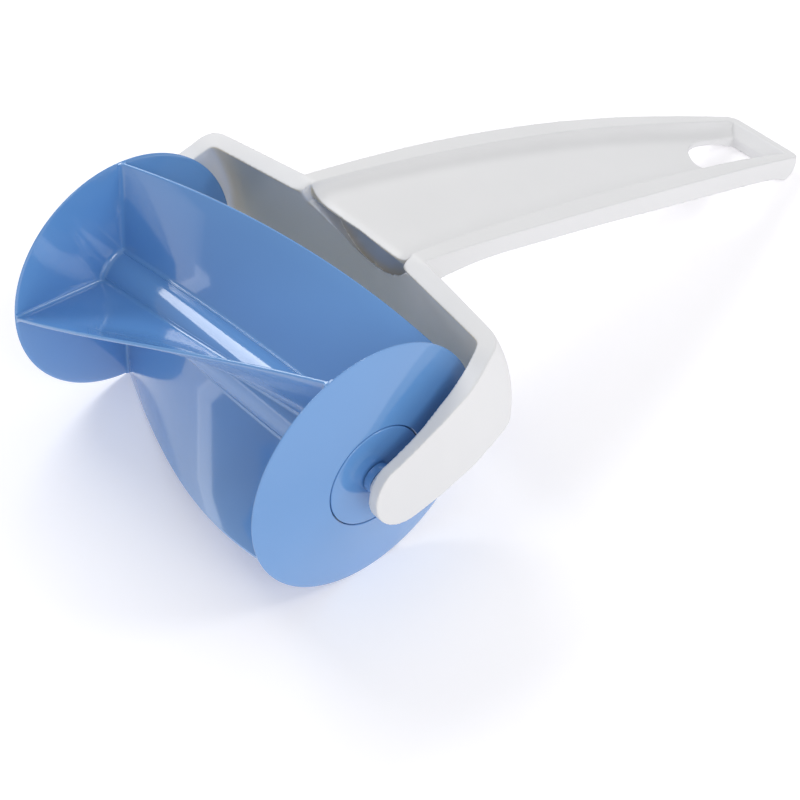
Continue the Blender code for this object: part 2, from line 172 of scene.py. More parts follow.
CROSSBAR_FRONT = [(25.6, 40.0), (12.0, 42.4), (0.0, 43.2)]
CORNER_CENTRE = (56.2 * MM, 34.6 * MM)
CORNER_RADIUS = 6.8 * MM
CORNER_ARC = (8, 80)
CORNER_STEPS = 16
CORNER_INSIDE = [(57.8, 34.0), (57.3, 35.4), (55.8, 36.2)]
ARM_OUTER_START = 6.0 * MM
ARM_BACK = [(66.1, 24.5), (67.3, 15.0)]
ARM_FRONT = [(64.1, 3.0), (63.7, 11.5), (61.6, 22.0)]
RIM_OUTER = [(25.7, 45.0), (25.7, 66.0), (25.7, 88.0), (25.0, 112.0),
             (23.6, 138.0), (21.1, 164.5), (17.6, 192.0), (14.5, 214.8)]
RIM_INNER = [(20.9, 46.0), (20.1, 72.0), (19.0, 97.0), (17.9, 120.0),
             (16.6, 145.0), (14.8, 167.0), (13.1, 187.0), (11.3, 214.8)]
HANDLE_END = 214.8 * MM
END_WALL = 3.6 * MM
END_ROUND = 3.2 * MM
END_ROUND_STEPS = 8
END_SLANT = 0.62
FOOT_LENGTH = 3.0 * MM
FOOT_RAMP = 9.0 * MM
RIM_CORNER_DROP = 1.0 * MM
FLOOR_DEPTH_FRONT = 3.9 * MM
FLOOR_DEPTH_END = 5.6 * MM
FLOOR_THICKNESS = 2.0 * MM
FLOOR_FRONT = 44.2 * MM
LIP_LENGTH = 3.6 * MM
LIP_DROP = 0.9 * MM
LIP_THICKNESS = 0.9 * MM
LIP_STEPS = 6
FLOOR_FILLET = 6.5 * MM
FLOOR_FILLET_STEPS = 9
FLOOR_SKIM = 0.02 * MM          # keeps the side cut just below the channel's floor
END_FILLET = 2.0 * MM
END_FILLET_CURVE = [(-0.25, 0.1), (0.35, 0.6)]  # in lengths of the fillet, from the floor's end
CHANNEL_AHEAD = [10.0 * MM, 4.0 * MM, 2.0 * MM]
CHANNEL_STEPS = 100
CHANNEL_PAST = 5.0 * MM
CHANNEL_END_RISE = 10.0 * MM
ROOT_LENGTH = 32.0 * MM
ROOT_EXTRA = 3.6 * MM
MOUTH_RADIUS = 4.5 * MM
MOUTH_ARC = (262, 180)
MOUTH_STEPS = 12
MOUTH_HALF_WIDTH = 20.9 * MM
NOTCH_FRONT = 36.0 * MM
POCKET_BACK = 50.2 * MM
POCKET_HALF_WIDTH = 21.5 * MM
POCKET_LOW = 8.6 * MM
POCKET_CURVE = 31.0             # per metre
POCKET_SLOPE = 1.6
POCKET_PAST = 5.0 * MM
POCKET_STEPS = 40
POCKET_LIP_GAP = 0.5 * MM
SLOT_FAR_SIDE = -8.4 * MM
SLOT_NEAR_SIDE = 10.4 * MM
SLOT_NOSE = [(-8.4, 196.0), (-7.9, 189.0), (-5.0, 182.6), (-0.6, 178.6), (4.2, 175.8),
             (8.2, 176.4), (10.2, 181.0), (10.4, 190.0)]
SKIRT_DROP = 2.6 * MM
SKIRT_END = 56.0 * MM
SKIRT_EASE = 16.0 * MM
SKIRT_TOP = 6.0 * MM
SKIRT_HEIGHT = 9.0 * MM
FAR = 60.0 * MM
WIDE = 80.0 * MM
FRAME_OCTREE_DEPTH = 9
REMESH_SCALE = 0.99
CREASE_ANGLE = math.radians(38)
CREASE_SMOOTHING = 22
FRAME_SMOOTHING = 3
REMESH_TURN = (0.41, 0.29, 0.53)
THROAT_CENTRE = (23.2 * MM, 42.3 * MM, 20.5 * MM)
THROAT_REACH = 4.5 * MM
THROAT_EASE = 1.6
THROAT_SMOOTHING = 24
GAP_EDGE_FRONT = 41.0 * MM
GAP_EDGE_REACH = 1.0 * MM
GAP_EDGE_EASE = 1.5
GAP_EDGE_SMOOTHING = 10


# ---- small modelling helpers
def in_metres(rows):
    return [(u * MM, v * MM) for u, v in rows]


def both_sides(half):
    """A closed outline from its +X half, which starts and ends on the middle line."""
    return half + [(-x, y) for x, y in reversed(half[1:-1])]


def eased(share):
    """A share from 0 to 1 with a smooth start and end."""
    return share * share * (3 - 2 * share)


def smooth_line(points, steps=8):
    """Points of a smooth curve (Catmull-Rom) through the given ones."""
    padded = [points[0]] + list(points) + [points[-1]]
    line = []
    for before, start, end, after in zip(padded, padded[1:], padded[2:], padded[3:]):
        for step in range(steps):
            t = step / steps
            line.append(tuple(
                0.5 * (2 * b + (c - a) * t + (2 * a - 5 * b + 4 * c - d) * t ** 2
                       + (3 * b - a - 3 * c + d) * t ** 3)
                for a, b, c, d in zip(before, start, end, after)))
    line.append(tuple(points[-1]))
    return line


def arc(centre, radius, start, end, steps):
    angles = np.radians(np.linspace(start, end, steps + 1))
    return [(centre[0] + radius * math.cos(a), centre[1] + radius * math.sin(a)) for a in angles]


def add_object(name, mesh):
    item = bpy.data.objects.new(name, mesh)
    bpy.context.scene.collection.objects.link(item)
    return item


def apply_modifiers(item):
    """Swaps the object's mesh for its evaluated one."""
    bpy.context.view_layer.update()
    depsgraph = bpy.context.evaluated_depsgraph_get()
    mesh = bpy.data.meshes.new_from_object(item.evaluated_get(depsgraph))
    item.modifiers.clear()
    item.data = mesh
    return item


def prism(name, outline, low, high, along):
    """A flat outline given thickness along X, Y or Z."""
    curve = bpy.data.curves.new(name, "CURVE")
    curve.dimensions = "2D"
    curve.fill_mode = "BOTH"
    curve.extrude = (high - low) / 2
    spline = curve.splines.new("POLY")
    spline.points.add(len(outline) - 1)
    for point, (u, v) in zip(spline.points, outline):
        point.co = (u, v, 0.0, 1.0)
    spline.use_cyclic_u = True
    drawn = add_object(name, curve)
    bpy.context.view_layer.update()
    depsgraph = bpy.context.evaluated_depsgraph_get()
    mesh = bpy.data.meshes.new_from_object(drawn.evaluated_get(depsgraph))
    bpy.data.objects.remove(drawn, do_unlink=True)
    middle = (low + high) / 2
    turn = {"Z": Matrix.Identity(4),
            "X": Matrix(((0, 0, 1, 0), (1, 0, 0, 0), (0, 1, 0, 0), (0, 0, 0, 1))),
            "Y": Matrix(((1, 0, 0, 0), (0, 0, -1, 0), (0, 1, 0, 0), (0, 0, 0, 1)))}[along]
    shift = {"X": (middle, 0, 0), "Y": (0, middle, 0), "Z": (0, 0, middle)}[along]
    mesh.transform(Matrix.Translation(Vector(shift)) @ turn)
    item = add_object(name, mesh)
    weld = item.modifiers.new("weld", "WELD")
    weld.merge_threshold = 0.01 * MM
    return apply_modifiers(item)


def loft(name, sections):
    """A closed solid through equal-length closed sections."""
    sections = np.asarray(sections, float)
    count, size = sections.shape[:2]
    ring = np.arange(size)
    after = (ring + 1) % size
    faces = [list(ring[::-1]), list(ring + (count - 1) * size)]
    for row in range(count - 1):
        low, high = row * size, (row + 1) * size
        faces += np.stack([ring + low, after + low, after + high, ring + high], 1).tolist()
    mesh = bpy.data.meshes.new(name)
    mesh.from_pydata(sections.reshape(-1, 3).tolist(), [], faces)
    return add_object(name, mesh)


def turned(name, profile, steps, sign=1):
    """A closed (radius, x) profile turned about the X axis."""
    angles = np.linspace(0.0, math.tau, steps, endpoint=False)
    profile = np.asarray(profile, float)
    size = len(profile)
    radius, along = profile[:, 0], profile[:, 1] * sign
    rings = np.stack([np.broadcast_to(along, (steps, size)),
                      np.outer(np.sin(angles), radius),
                      np.outer(np.cos(angles), radius)], 2)
    point = np.arange(size)
    after = (point + 1) % size
    faces = []
    for step in range(steps):
        low, high = step * size, (step + 1) % steps * size
        quad = [point + low, point + high, after + high, after + low]
        faces += np.stack(quad if sign > 0 else quad[::-1], 1).tolist()
    mesh = bpy.data.meshes.new(name)
    mesh.from_pydata(rings.reshape(-1, 3).tolist(), [], faces)
    return add_object(name, mesh)


def combine(item, other, operation):
    """Boolean with another object, which is used up."""
    boolean = item.modifiers.new("combine", "BOOLEAN")
    boolean.operation = operation
    boolean.solver = "EXACT"
    boolean.object = other
    apply_modifiers(item)
    bpy.data.objects.remove(other, do_unlink=True)
    return item


def rounded(profile, radius):
    """A closed profile whose corners are cut by small arcs of about the given radius."""
    out = []
    count = len(profile)
    for index in range(count):
        corner = np.array(profile[index], float)
        before = np.array(profile[index - 1], float) - corner
        after = np.array(profile[(index + 1) % count], float) - corner
        room = min(np.linalg.norm(before), np.linalg.norm(after))
        reach = min(radius, LARGEST_CUT * room)
        start = corner + before / np.linalg.norm(before) * reach
        end = corner + after / np.linalg.norm(after) * reach
        for t in np.linspace(0.0, 1.0, SMALL_ROUND_STEPS + 1):
            out.append(tuple((1 - t) ** 2 * start + 2 * t * (1 - t) * corner + t * t * end))
    return out


def even_remesh(item):
    """Rebuilds the surface from even quads of about half a millimetre, edges kept sharp.

    The piece is turned askew meanwhile, so that no face runs nearly along the grid.
    """
    askew = Euler(REMESH_TURN).to_matrix().to_4x4()
    item.data.transform(askew)
    remesh = item.modifiers.new("remesh", "REMESH")
    remesh.mode = "SHARP"
    remesh.octree_depth = FRAME_OCTREE_DEPTH
    remesh.scale = REMESH_SCALE
    remesh.use_remove_disconnected = False
    apply_modifiers(item)
    item.data.transform(askew.inverted())
    return item


def coordinates(mesh):
    points = np.empty(len(mesh.vertices) * 3)
    mesh.vertices.foreach_get("co", points)
    return points.reshape(-1, 3)


def creases(mesh):
    """Which edges of the mesh are folded sharply."""
    mesh.set_sharp_from_angle(angle=CREASE_ANGLE)
    folded = np.zeros(len(mesh.edges), bool)
    mesh.attributes["sharp_edge"].data.foreach_get("value", folded)
    mesh.attributes.remove(mesh.attributes["sharp_edge"])
    return folded


def soften(item, rounds, where=None, keep_creases=False):
    """Moves vertices towards the mean of their neighbours; where() weighs them, 0 to 1.

    With the creases kept, a vertex on a crease only heeds its neighbours along it.
    """
    mesh = item.data
    count = len(mesh.vertices)
    points = coordinates(mesh)
    edges = np.empty(len(mesh.edges) * 2, int)
    mesh.edges.foreach_get("vertices", edges)
    first, second = edges.reshape(-1, 2).T
    folded = creases(mesh) if keep_creases else np.zeros(len(first), bool)
    on_crease = np.bincount(np.concatenate([first[folded], second[folded]]), minlength=count) > 0
    heed_second = (folded | ~on_crease[first]).astype(float)
    heed_first = (folded | ~on_crease[second]).astype(float)
    degree = np.bincount(first, heed_second, count) + np.bincount(second, heed_first, count)
    strength = 0.5 if where is None else 0.5 * where(points)[:, None]
    for _ in range(rounds):
        total = np.stack([np.bincount(first, heed_second * points[second, k], count)
                          + np.bincount(second, heed_first * points[first, k], count)
                          for k in range(3)], 1)
        points = points + strength * (total / degree[:, None] - points)
    mesh.vertices.foreach_set("co", points.ravel())
    mesh.update()


# ---- roller
def disc_face(radius):
    return DISC_SPACING / 2 + DISC_RISE * (DISC_RADIUS - radius) / (DISC_RADIUS - CAP_RADIUS)


def roller_profile():
    rim = DISC_SPACING / 2
    inner = rim - DISC_INNER_STEP
    recess = CAP_RADIUS + FIT_GAP
    recess_floor = rim + DISC_RISE - CAP_THICKNESS - FIT_GAP
    lip = SMALL_ROUND / 2
    edge = rim - RIM_FLAT / 2
    tip = arc((DISC_RADIUS - RIM_FLAT / 2, edge), RIM_FLAT / 2, RIM_TURN, -RIM_TURN, RIM_STEPS)
    half = [(recess, disc_face(recess) - lip), (recess + lip, disc_face(recess + lip))]
    half += [(r, disc_face(r))
             for r in np.linspace(recess + FACE_START, DISC_RADIUS - FACE_END, FACE_STEPS)]
    half += tip + [(DISC_RADIUS - RIM_BEVEL, inner)]
    half += arc((CORE_RADIUS + CORE_FILLET, inner - CORE_FILLET), CORE_FILLET, 90, 180,
                CORE_FILLET_STEPS)
    bore = [(CORE_BORE, recess_floor), (recess, recess_floor)]
    return (half + [(radius, -x) for radius, x in reversed(half)]
            + [(radius, -x) for radius, x in reversed(bore)] + bore)


def fillet(distance):
    """How far a surface stands off near a corner filled with a round fillet."""
    share = np.clip(1.0 - np.asarray(distance) / BLADE_FILLET, 0.0, 1.0)
    return BLADE_FILLET * (1.0 - np.sqrt(1.0 - share ** 2))


def blade_section():
    """Closed (radius, offset) outline of a blade: it thins outwards to a rounded edge."""
    shoulder = BLADE_RADIUS - BLADE_TIP_ROUND
    root = CORE_RADIUS + BLADE_FILLET * FILLET_SHARES
    radii = np.concatenate([[BLADE_ROOT], root, np.linspace(root[-1], shoulder, BLADE_RINGS)[1:]])
    halves = np.interp(radii, (BLADE_ROOT, shoulder), (BLADE_THICKNESS / 2, BLADE_TIP / 2))
    side = list(zip(radii, halves + fillet(np.maximum(radii - CORE_RADIUS, 0.0))))
    side += [(shoulder + BLADE_TIP_ROUND * math.sin(a),
              halves[-1] - BLADE_TIP_ROUND * (1 - math.cos(a))) for a in np.radians(BLADE_TIP_TURNS)]
    return np.array(side + [(r, -t) for r, t in reversed(side)])


def blade(index):
    half_length = DISC_SPACING / 2 - BLADE_INSET
    inner = DISC_SPACING / 2 - DISC_INNER_STEP
    ends = inner - BLADE_FILLET * FILLET_SHARES
    stations = np.linspace(-ends[-1], ends[-1], BLADE_STATIONS)[1:-1]
    section = blade_section()
    sections = []
    for x in np.concatenate([[-half_length], -ends, stations, ends[::-1], [half_length]]):
        angle = BLADE_START + BLADE_SWEEP * (x / DISC_SPACING + 0.5) + math.tau * index / BLADE_COUNT
        along = np.full(len(section), x)
        radius, offset = section.T
        offset = offset + np.sign(offset) * fillet(max(inner - abs(x), 0.0))
        y = offset * math.cos(angle) - radius * math.sin(angle)
        z = offset * math.sin(angle) + radius * math.cos(angle)
        sections.append(np.stack([along, y, z], 1))
    return loft("blade", sections)


def roller_body():
    body = turned("roller", roller_profile(), TURN_STEPS)
    for index in range(BLADE_COUNT):
        combine(body, blade(index), "UNION")
    return body


def hub_cap(side, sign):
    face = DISC_SPACING / 2 + DISC_RISE
    back = face - CAP_THICKNESS
    spigot = CORE_BORE - FIT_GAP
    profile = [(AXLE_BORE, face), (CAP_RADIUS, face), (CAP_RADIUS, back), (spigot, back),
               (spigot, back - CAP_SPIGOT), (AXLE_BORE, back - CAP_SPIGOT)]
    return turned("cap_" + side, rounded(profile, SMALL_ROUND), TURN_STEPS // 2, sign)


def thrust_washer(side, sign):
    inner = DISC_SPACING / 2 + DISC_RISE + FIT_GAP
    outer = inner + WASHER_THICKNESS
    profile = [(AXLE_BORE, outer), (WASHER_RADIUS, outer), (WASHER_RADIUS, inner), (AXLE_BORE, inner)]
    return turned("washer_" + side, rounded(profile, SMALL_ROUND / 2), SMALL_TURN_STEPS, sign)


def axle():
    end = SOCKET_END - FIT_GAP
    profile = [(AXLE_RADIUS - AXLE_CHAMFER, end), (AXLE_RADIUS, end - AXLE_CHAMFER)]
    sections = []
    for radius, x in [(r, -x) for r, x in profile] + list(reversed(profile)):
        ring = arc((0.0, 0.0), radius, 0, 360, SMALL_TURN_STEPS)[:-1]
        sections.append([(x, y, z) for y, z in ring])
    return loft("axle", sections)


# ---- forked frame
def rim_height(y):
    """Height of the handle's rim: a slow arch that falls to the handle's end."""
    return CREST_Z + CREST_SLOPE * (y - CREST_Y) - CREST_BEND * (y - CREST_Y) ** 2


def floor_depth(y):
    share = (y - FLOOR_FRONT) / (HANDLE_END - FLOOR_FRONT)
    return FLOOR_DEPTH_FRONT + (FLOOR_DEPTH_END - FLOOR_DEPTH_FRONT) * share


def channel_depth(y):
    """Depth of the channel's cut, whose floor rounds down over its front lip."""
    share = min(1.0, max(0.0, (FLOOR_FRONT + LIP_LENGTH - y) / LIP_LENGTH))
    return floor_depth(y) + LIP_DROP * share ** 2


def floor_top(y):
    return rim_height(y) - floor_depth(y)


def wall_drop(y):
    share = max(0.0, 1.0 - (y - CREST_Y) / ROOT_LENGTH)
    return floor_depth(y) + FLOOR_THICKNESS + ROOT_EXTRA * share ** 2


def rim_line(start, end, drop, steps=RIM_LINE_STEPS):
    return [(y, rim_height(y) - drop(y)) for y in np.linspace(start, end, steps + 1)]


def fork_side():
    """Side view of the fork: round tips, rising edge, crest, and a rounded heel."""
    upper = smooth_line(in_metres(ARM_EDGE) + [(CREST_Y, CREST_Z)])
    crest = rim_line(CREST_Y, CREST_Y + CREST_FLAT, lambda y: 0.0, CREST_STEPS)
    tip = arc((ARM_TIP_Y, 0.0), ARM_TIP_RADIUS, *ARM_TIP_ARC, ARM_TIP_STEPS)
    return upper + crest[1:] + smooth_line(in_metres(HEEL_EDGE)) + list(reversed(tip))


def fork_plan():
    """Plan of the fork's wall: two splayed arms and a swept crossbar."""
    front_end = -ARM_TIP_RADIUS - MM
    back = (smooth_line(in_metres(CROSSBAR_BACK))
            + list(reversed(arc(CORNER_CENTRE, CORNER_RADIUS, *CORNER_ARC, CORNER_STEPS)))
            + smooth_line(in_metres(ARM_BACK))
            + [(ARM_TIP_OUTER, ARM_OUTER_START), (ARM_TIP_OUTER, front_end)])
    front = ([(ARM_TIP_INNER, front_end)]
             + smooth_line(in_metres(ARM_FRONT))
             + smooth_line(in_metres(CORNER_INSIDE), 3)
             + smooth_line(in_metres(CROSSBAR_FRONT)))
    return both_sides(back + front)


def wall_lean(points):
    """The crossbar's wall bows away from the roller; the arms stay as they are."""
    y, z = points[:, 1], points[:, 2]
    share = np.clip((y - BULGE_START_Y) / (BULGE_FULL_Y - BULGE_START_Y), 0.0, 1.0)
    return eased(share) * WALL_BULGE * (1 - ((z - BULGE_LEVEL) / BULGE_HALF_HEIGHT) ** 2)


def fork_wall():
    """The fork's wall in thin layers, so that it takes its bulge smoothly."""
    outline = fork_plan()
    sections = np.array([[(x, y, z) for x, y in reversed(outline)] for z in WALL_LEVELS])
    points = sections.reshape(-1, 3)
    points[:, 1] += wall_lean(points)
    wall = loft("frame", points.reshape(sections.shape))
    return combine(wall, prism("side", fork_side(), -WIDE, WIDE, "X"), "INTERSECT")


def half_width(rows, start, end):
    """Half widths along the handle, from its end back towards the fork."""
    line = [point for point in smooth_line(in_metres(rows)) if start <= point[1] <= end]
    return list(reversed(line))


def handle_bar():
    """The handle as a solid bar: its plan, cut to its side view."""
    sides = half_width(RIM_OUTER, CREST_Y + MM, HANDLE_END - END_ROUND)
    end_half = sides[0][0]
    corner = arc((end_half - END_ROUND, HANDLE_END - END_ROUND), END_ROUND, 90, 0, END_ROUND_STEPS)
    root = CREST_Y - MM
    plan = ([(0.0, HANDLE_END)] + corner + sides[1:]
            + [(RIM_OUTER[0][0] * MM, root), (0.0, root)])
    bar = prism("bar", both_sides(plan), -FAR, FAR, "Z")
    under_end = HANDLE_END - END_SLANT * (FLOOR_THICKNESS + FLOOR_DEPTH_END)
    upper = rim_line(CREST_Y, HANDLE_END + MM, lambda y: 0.0)
    nose = [(HANDLE_END + MM, rim_height(HANDLE_END) - RIM_CORNER_DROP),
            (HANDLE_END, rim_height(HANDLE_END) - RIM_CORNER_DROP)]
    lower = (rim_line(CREST_Y, under_end - FOOT_RAMP, wall_drop)
             + [(under_end - FOOT_LENGTH, -DISC_RADIUS), (under_end, -DISC_RADIUS)])
    side = prism("side", upper + nose + list(reversed(lower)), -WIDE, WIDE, "X")
    return combine(bar, side, "INTERSECT")


def channel_width(y):
    """Half width of the channel at its rim, which flares at the mouth."""
    mouth = arc((MOUTH_HALF_WIDTH + MOUTH_RADIUS, CREST_Y), MOUTH_RADIUS, *MOUTH_ARC, MOUTH_STEPS)
    line = mouth + list(reversed(half_width(RIM_INNER, CREST_Y + MM, HANDLE_END + MM)))
    return np.interp(y, [v for _, v in line], [u for u, _ in line])


def channel_section(y):
    """Cross section of the channel's cut: a flat floor, rounded corners and open top."""
    width, depth = float(channel_width(y)), channel_depth(y)
    turn = [(width - FLOOR_FILLET * (1 - math.sin(a)), -depth * math.cos(a))
            for a in np.radians(np.linspace(0, 90, FLOOR_FILLET_STEPS + 1))]
    half = [(0.0, -depth)] + turn + [(width, FAR), (0.0, FAR)]
    return [(x, y, rim_height(y) + z) for x, z in both_sides(half)]


def channel():
    """The dished channel of the handle: its floor turns up smoothly into the walls."""
    back = HANDLE_END - END_WALL
    lip_end = FLOOR_FRONT + LIP_LENGTH
    ahead = [FLOOR_FRONT - distance for distance in CHANNEL_AHEAD]
    lip = np.linspace(FLOOR_FRONT, lip_end, LIP_STEPS + 1)
    rest = np.linspace(lip_end + MM, back + CHANNEL_PAST, CHANNEL_STEPS)
    cut = loft("channel", [channel_section(y) for y in np.concatenate([ahead, lip, rest])])
    deep_end = back - END_SLANT * floor_depth(back)
    fillet_start = deep_end - END_FILLET

    def floor_line(start, end, steps=RIM_LINE_STEPS):
        return rim_line(start, end, lambda y: channel_depth(y) + FLOOR_SKIM, steps)

    outline = ([(ahead[0] - MM, FAR), (ahead[0] - MM, floor_top(ahead[0]) - MM)]
               + floor_line(ahead[0], FLOOR_FRONT, 1)
               + floor_line(FLOOR_FRONT, lip_end, LIP_STEPS)[1:]
               + floor_line(lip_end, fillet_start - END_FILLET / 2)[1:]
               + [(fillet_start, floor_top(fillet_start) - FLOOR_SKIM)]
               + [(deep_end + u * END_FILLET, floor_top(deep_end) + v * END_FILLET)
                  for u, v in END_FILLET_CURVE]
               + [(back, rim_height(back)), (back + CHANNEL_END_RISE, FAR)])
    return combine(cut, prism("side", outline, -WIDE, WIDE, "X"), "INTERSECT")


def wall_face(x, z):
    """How far behind the roller's axis the crossbar's inner face is."""
    line = sorted((u * MM, v * MM) for u, v in CROSSBAR_FRONT)
    y = np.interp(abs(x), [u for u, _ in line], [v for _, v in line])
    return y + WALL_BULGE * (1 - ((z - BULGE_LEVEL) / BULGE_HALF_HEIGHT) ** 2)


def pocket_outline(top, y):
    """Front view of the lens-shaped gap: its lower edge dips in the middle, and behind
    the crossbar's inner face it falls away backwards."""
    lip = floor_top(FLOOR_FRONT) - FLOOR_THICKNESS
    low = []
    for x in np.linspace(-POCKET_HALF_WIDTH, POCKET_HALF_WIDTH, POCKET_STEPS + 1):
        edge = min(POCKET_LOW + POCKET_CURVE * x * x, lip - POCKET_LIP_GAP)
        slope = POCKET_SLOPE * (1 - (x / POCKET_HALF_WIDTH) ** 2)
        low.append((x, edge - slope * max(0.0, y - wall_face(x, edge))))
    return low + [(POCKET_HALF_WIDTH, top), (-POCKET_HALF_WIDTH, top)]


def pocket_cutters():
    """The gap in front of the channel's floor, and the blind pocket below it."""
    lip = rim_height(FLOOR_FRONT) - channel_depth(FLOOR_FRONT) - LIP_THICKNESS
    ceiling = floor_top(POCKET_BACK) - FLOOR_THICKNESS
    notch = prism("notch", pocket_outline(FAR, NOTCH_FRONT), NOTCH_FRONT, FLOOR_FRONT, "Y")
    depths = np.arange(NOTCH_FRONT + MM / 2, POCKET_BACK + POCKET_PAST, MM / 2)
    hollow = loft("pocket", [[(x, y, z) for x, z in pocket_outline(CREST_Z, y)] for y in depths])
    below = [(NOTCH_FRONT - MM, 0.0), (POCKET_BACK, 0.0), (POCKET_BACK, ceiling),
             (FLOOR_FRONT, lip), (NOTCH_FRONT - MM, lip)]
    combine(hollow, prism("side", below, -WIDE, WIDE, "X"), "INTERSECT")
    return notch, hollow


def hang_slot():
    end = HANDLE_END - END_WALL - END_SLANT * FLOOR_DEPTH_END
    outline = smooth_line(in_metres(SLOT_NOSE)) + [(SLOT_NEAR_SIDE, end), (SLOT_FAR_SIDE, end)]
    return prism("slot", outline, -FAR, FAR, "Z")


def boss(sign, radius, near, far):
    ends = sorted((sign * near, sign * far))
    ring = arc((0.0, 0.0), radius, 0, 360, SMALL_TURN_STEPS)[:-1]
    return loft("boss", [[(x, y, z) for y, z in ring] for x in ends])


def hang_skirt(item):
    """Lets the lower edge of the crossbar hang a little between the two corners."""
    points = coordinates(item.data)
    inward = np.clip((SKIRT_END - np.abs(points[:, 0])) / SKIRT_EASE, 0.0, 1.0)
    below = np.clip((SKIRT_TOP - points[:, 2]) / SKIRT_HEIGHT, 0.0, 1.0)
    behind = (points[:, 1] > NOTCH_FRONT) & (points[:, 1] < HEEL_EDGE[0][0] * MM)
    points[:, 2] -= SKIRT_DROP * behind * eased(inward) * eased(below)
    item.data.vertices.foreach_set("co", points.ravel())
    item.data.update()


def near_throat(points):
    """Weight around the two corners where the channel's mouth meets the crossbar."""
    folded = np.stack([np.abs(points[:, 0]), points[:, 1], points[:, 2]], 1)
    away = np.linalg.norm(folded - np.array(THROAT_CENTRE), axis=1)
    return np.clip(THROAT_EASE * (1.0 - away / THROAT_REACH), 0.0, 1.0)


def near_gap_edge(points):
    """Weight along the lower edge of the lens-shaped gap."""
    x, y, z = points.T
    away = np.abs(z - POCKET_LOW - POCKET_CURVE * x * x)
    inside = (np.abs(x) < POCKET_HALF_WIDTH) & (y > GAP_EDGE_FRONT) & (y < POCKET_BACK)
    return inside * np.clip(GAP_EDGE_EASE - away / GAP_EDGE_REACH, 0.0, 1.0)


def handle_frame():
    body = fork_wall()
    combine(body, handle_bar(), "UNION")
    combine(body, channel(), "DIFFERENCE")
    for cutter in pocket_cutters():
        combine(body, cutter, "DIFFERENCE")
    combine(body, hang_slot(), "DIFFERENCE")
    boss_start = DISC_SPACING / 2 + DISC_RISE + WASHER_THICKNESS + 2 * FIT_GAP
    for sign in (-1, 1):
        combine(body, boss(sign, BOSS_RADIUS, boss_start, ARM_TIP_INNER + MM), "UNION")
        combine(body, boss(sign, SOCKET_RADIUS, boss_start - MM, SOCKET_END), "DIFFERENCE")
    even_remesh(body)
    soften(body, CREASE_SMOOTHING, keep_creases=True)
    hang_skirt(body)
    soften(body, THROAT_SMOOTHING, near_throat)
    soften(body, GAP_EDGE_SMOOTHING, near_gap_edge)
    soften(body, FRAME_SMOOTHING)
    return body


# ---- materials
def node(tree, kind, **values):
    made = tree.nodes.new(kind)
    for name, value in values.items():
        if name in made.inputs:
            made.inputs[name].default_value = value
        else:
            setattr(made, name, value)
    return made


def noise(tree, coordinates, scale, detail=3.0):
    made = node(tree, "ShaderNodeTexNoise", Scale=scale, Detail=detail)
    tree.links.new(coordinates, made.inputs["Vector"])
    return made.outputs["Fac"]


def ramp(tree, value, start, end, low=0.0, high=1.0):
    """The value taken from the range start to end into the range low to high."""
    made = node(tree, "ShaderNodeMapRange")
    for name, number in (("From Min", start), ("From Max", end), ("To Min", low), ("To Max", high)):
        made.inputs[name].default_value = number
    tree.links.new(value, made.inputs["Value"])
    return made.outputs["Result"]


def spread(tree, cloud, low, high):
    """A noise, which stays near its middle, spread over the whole range low to high."""
    return ramp(tree, cloud, 0.3, 0.7, low, high)


def bump(tree, height, distance, strength, under=None):
    made = node(tree, "ShaderNodeBump", Strength=strength, Distance=distance)
    tree.links.new(height, made.inputs["Height"])
    if under is not None:
        tree.links.new(under, made.inputs["Normal"])
    return made.outputs["Normal"]


def moulded_plastic(name, tones, roughness, grain):
    """Moulded plastic: faint cloudy colour, uneven gloss, and a fine moulded grain."""
    material = bpy.data.materials.new(name)
    material.use_nodes = True
    tree = material.node_tree
    shader = tree.nodes["Principled BSDF"]
    place = tree.nodes.new("ShaderNodeTexCoord").outputs["Object"]
    cloud = noise(tree, place, CLOUD_SCALE)
    light, dark = tones
    mix = node(tree, "ShaderNodeMix", data_type="RGBA")
    mix.inputs["A"].default_value = (*dark, 1.0)
    mix.inputs["B"].default_value = (*light, 1.0)
    tree.links.new(spread(tree, cloud, 0.0, 1.0), mix.inputs["Factor"])
    tree.links.new(mix.outputs["Result"], shader.inputs["Base Color"])
    smear = noise(tree, place, SMEAR_SCALE)
    tree.links.new(spread(tree, smear, *roughness), shader.inputs["Roughness"])
    waves = bump(tree, noise(tree, place, WAVE_SCALE, 1.0), WAVE_HEIGHT, WAVE_STRENGTH)
    fine = bump(tree, noise(tree, place, GRAIN_SCALE, 2.0), GRAIN_HEIGHT, grain, waves)
    tree.links.new(fine, shader.inputs["Normal"])
    return material, shader


